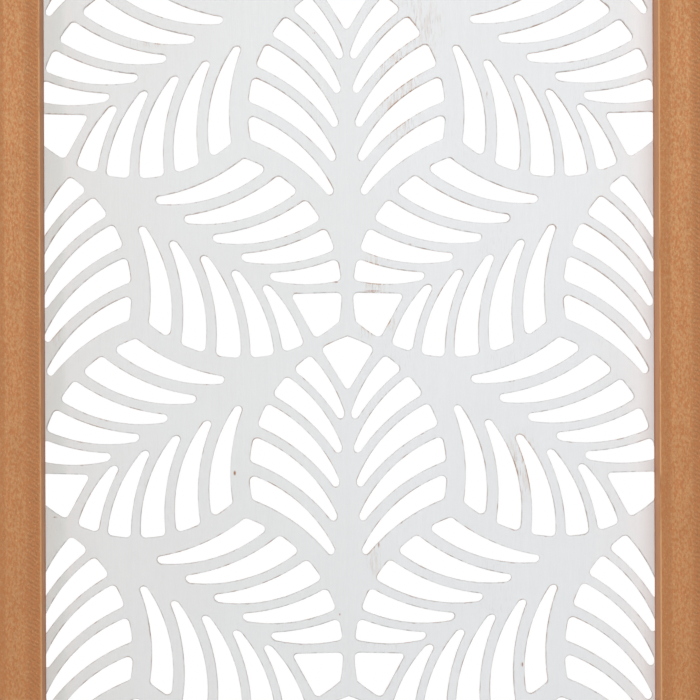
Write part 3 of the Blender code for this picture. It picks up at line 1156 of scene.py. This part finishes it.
class Side(Enum):
    """The four bars: node, piece, turn about the panel's middle, and grain's start."""

    TOP = ("top_rail", "upper_bar", 0.0, 0.0)
    BOTTOM = ("bottom_rail", "lower_bar", 180.0, 1.3)
    LEFT = ("left_stile", "left_bar", -90.0, 2.9)
    RIGHT = ("right_stile", "right_bar", 90.0, 4.1)


@dataclass
class FrameBar:
    """One mitred bar, with softened edges and a rebate at its back."""

    sizes: PanelSizes
    side: Side
    edge_radius: float = 0.0009
    edge_steps: int = 6
    face_steps: int = 8
    section_pitch: float = 0.006
    waviness: float = 0.00006
    waves_per_metre: Triple = (35.0, 60.0, 60.0)
    wave_shift: float = 7.0
    board_width: float = 0.0270
    sharp_angle: float = 40.0

    def section(self) -> list[tuple[float, float, float, float]]:
        """Return the bar's section, round from the opening side.

        Returns:
            For each point its distance out from the opening, its depth, and how much
            it belongs to the opening side and to the arris.
        """
        sizes = self.sizes
        front = -sizes.depth
        shoulder = -sizes.sheet_thickness - sizes.fit_gap
        radius = self.edge_radius
        points = [(0.0, shoulder, 1.0, 0.0), (0.0, (shoulder + front) / 2, 1.0, 0.0)]
        for step in range(self.edge_steps + 1):
            angle = math.radians(90) * step / self.edge_steps
            out = radius * (1 - math.cos(angle))
            deep = front + radius * (1 - math.sin(angle))
            points.append((out, deep, 1.0 if step == 0 else 0.0, math.sin(2 * angle)))
        face = sizes.bar_width - 2 * radius
        for step in range(1, self.face_steps):
            points.append((radius + face * step / self.face_steps, front, 0.0, 0.0))
        for step in range(self.edge_steps + 1):
            angle = math.radians(90) * step / self.edge_steps
            out = sizes.bar_width - radius * (1 - math.sin(angle))
            deep = front + radius * (1 - math.cos(angle))
            points.append((out, deep, 0.0, math.sin(2 * angle)))
        for out, deep in (
            (sizes.bar_width, front / 2),
            (sizes.bar_width, 0.0),
            (sizes.rebate_width, 0.0),
            (sizes.rebate_width, shoulder),
        ):
            points.append((out, deep, 0.0, 0.0))
        return points

    def build(self) -> bpy.types.Object:
        """Return the bar."""
        sizes = self.sizes
        node, name, turn_deg, start = self.side.value
        upright = self.side in (Side.LEFT, Side.RIGHT)
        inner_length = sizes.opening_height if upright else sizes.opening_width
        beside = (sizes.opening_width if upright else sizes.opening_height) / 2
        clearance = sizes.fit_gap / math.sqrt(2)
        turn = Matrix.Rotation(math.radians(turn_deg), 3, "Y")
        section = self.section()
        sections = math.ceil((inner_length + 2 * sizes.bar_width) / self.section_pitch)
        corners = []
        places = []
        amounts = {"opening_side": [], "on_arris": [], "height": []}
        for index in range(sections + 1):
            share = 2 * index / sections - 1
            for out, deep, opening_share, arris_share in section:
                along = share * (inner_length / 2 + out - clearance)
                waves = Vector((along, out, deep)) * Vector(self.waves_per_metre)
                sway = noise.noise(waves + Vector((0.0, 0.0, start * self.wave_shift)))
                inward = self.waviness * (0.5 + sway) * (1 if deep < -sizes.depth / 2 else 0)
                point = turn @ Vector((along, deep + max(0.0, inward), out + beside))
                corners.append(tuple(sizes.middle + point))
                amounts["height"].append(point.z)
                amounts["opening_side"].append(opening_share)
                amounts["on_arris"].append(arris_share)
                if self.side is Side.RIGHT:
                    places.append((start - along, self.board_width - out, deep + sizes.depth))
                else:
                    places.append((start + along, out, deep + sizes.depth))
        count = len(section)
        faces = []
        for index in range(sections):
            base = index * count
            for corner in range(count):
                after = (corner + 1) % count
                beyond = base + count
                faces.append((base + corner, base + after, beyond + after, beyond + corner))
        last = sections * count
        faces.append(tuple(range(count)))
        faces.append(tuple(range(last, last + count)))
        LOG.info("%s: %d corners", node, len(corners))
        return new_piece(name, corners, faces, self.sharp_angle, amounts, places)

    def dress(self, piece: bpy.types.Object, stain: bpy.types.Material) -> None:
        """Give the bar its stain and let it stand for its node.

        Args:
            piece: The bar.
            stain: The stain's material.
        """
        piece.data.materials.append(stain)
        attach(piece, "root")
        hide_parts(self.side.value[0])


@dataclass(frozen=True)
class Softbox:
    """A square light that shines at the panel's middle."""

    name: str
    place: Triple
    size: float
    power: float

    def hang(self, aim: Vector) -> None:
        """Add the light.

        Args:
            aim: The point it shines at.
        """
        data = bpy.data.lights.new(self.name, "AREA")
        data.shape = "SQUARE"
        data.size = self.size
        data.energy = self.power
        light = bpy.data.objects.new(self.name, data)
        light.location = aim + Vector(self.place)
        light.rotation_euler = (-Vector(self.place)).to_track_quat("-Z", "Y").to_euler()
        bpy.context.scene.collection.objects.link(light)


@dataclass
class Studio:
    """The camera, the soft light and the pale floor."""

    sizes: PanelSizes
    camera_distance: float = 1.0940
    lens: float = 97.84
    aim_x: float = 0.00037
    camera_left: float = 0.0288
    roll_deg: float = -0.225
    sensor: float = 36.0
    near_clip: float = 0.05
    surround: float = 0.10
    backdrop: float = 0.95
    bright_towards: Triple = (-0.42, 0.84, 0.35)
    dim_to: float = -0.40
    bright_from: float = 0.65
    seen_white: float = 1.0
    softboxes: tuple[Softbox, ...] = (
        Softbox("key", (0.0, -2.2, 1.0), 0.35, 26.2),
        Softbox("fill", (0.70, -2.2, 0.3), 1.05, 9.0),
        Softbox("side", (-1.37, -1.88, 0.7), 0.32, 7.6),
    )
    floor_below: float = 1.3
    floor_size: float = 8.0

    def set_camera(self) -> None:
        """Set the camera square to the panel, level with its middle and a little to the left."""
        data = bpy.data.cameras.new("camera")
        data.lens = self.lens
        data.sensor_width = self.sensor
        data.shift_x = self.camera_left / self.camera_distance * self.lens / self.sensor
        data.clip_start = self.near_clip
        camera = bpy.data.objects.new("camera", data)
        front = self.sizes.middle.y - self.sizes.sheet_thickness
        place = Vector((self.aim_x, front - self.camera_distance, self.sizes.middle.z))
        facing = Matrix.Rotation(math.radians(90), 4, "X")
        roll = Matrix.Rotation(math.radians(self.roll_deg), 4, "Z")
        left = Matrix.Translation((-self.camera_left, 0, 0))
        camera.matrix_world = Matrix.Translation(place) @ facing @ roll @ left
        bpy.context.scene.collection.objects.link(camera)
        bpy.context.scene.camera = camera

    def set_light(self) -> None:
        """Surround the panel with white and hang the softboxes.

        The surround is seen as plain white. It shines brightly behind the panel, and more
        weakly than the softboxes before it.
        """
        world = bpy.data.worlds.new("surround")
        world.use_nodes = True
        nodes, links = world.node_tree.nodes, world.node_tree.links
        background = nodes["Background"]
        background.inputs["Color"].default_value = (1.0, 1.0, 1.0, 1.0)
        towards = nodes.new("ShaderNodeVectorMath")
        towards.operation = "DOT_PRODUCT"
        towards.inputs[1].default_value = self.bright_towards
        links.new(nodes.new("ShaderNodeTexCoord").outputs["Generated"], towards.inputs[0])
        shine = nodes.new("ShaderNodeMapRange")
        for name, value in (
            ("From Min", self.dim_to),
            ("From Max", self.bright_from),
            ("To Min", self.surround),
            ("To Max", self.backdrop),
        ):
            shine.inputs[name].default_value = value
        links.new(towards.outputs["Value"], shine.inputs["Value"])
        strength = nodes.new("ShaderNodeMix")
        links.new(nodes.new("ShaderNodeLightPath").outputs["Is Camera Ray"], strength.inputs[0])
        links.new(shine.outputs["Result"], strength.inputs[2])
        strength.inputs[3].default_value = self.seen_white
        links.new(strength.outputs[0], background.inputs["Strength"])
        bpy.context.scene.world = world
        for softbox in self.softboxes:
            softbox.hang(self.sizes.middle)

    def lay_floor(self, finish: PaleFloor) -> None:
        """Lay the floor.

        Args:
            finish: Its finish.
        """
        half = self.floor_size / 2
        height = self.sizes.middle.z - self.floor_below
        mesh = bpy.data.meshes.new("floor")
        corners = [(-half, -half, height), (half, -half, height), (half, half, height)]
        corners.append((-half, half, height))
        mesh.from_pydata(corners, [], [(0, 1, 2, 3)])
        mesh.materials.append(finish.material())
        floor = bpy.data.objects.new("floor", mesh)
        bpy.context.scene.collection.objects.link(floor)


def main() -> None:
    """Build the panel and its studio."""
    logging.basicConfig(level=logging.INFO, format="%(name)s %(message)s")
    bpy.context.scene.view_settings.view_transform = "Standard"
    sizes = PanelSizes.measured()
    sheet = FretworkSheet(sizes, LeafPattern())
    piece = sheet.build()
    sheet.dress(piece, Whitewash())
    LOG.info("%s: %d corners", piece.name, len(piece.data.vertices))
    stain = StainedWood().material(sizes.depth)
    for side in Side:
        bar = FrameBar(sizes, side)
        bar.dress(bar.build(), stain)
    studio = Studio(sizes)
    studio.set_camera()
    studio.set_light()
    studio.lay_floor(PaleFloor())


if __name__ == "__main__":
    main()
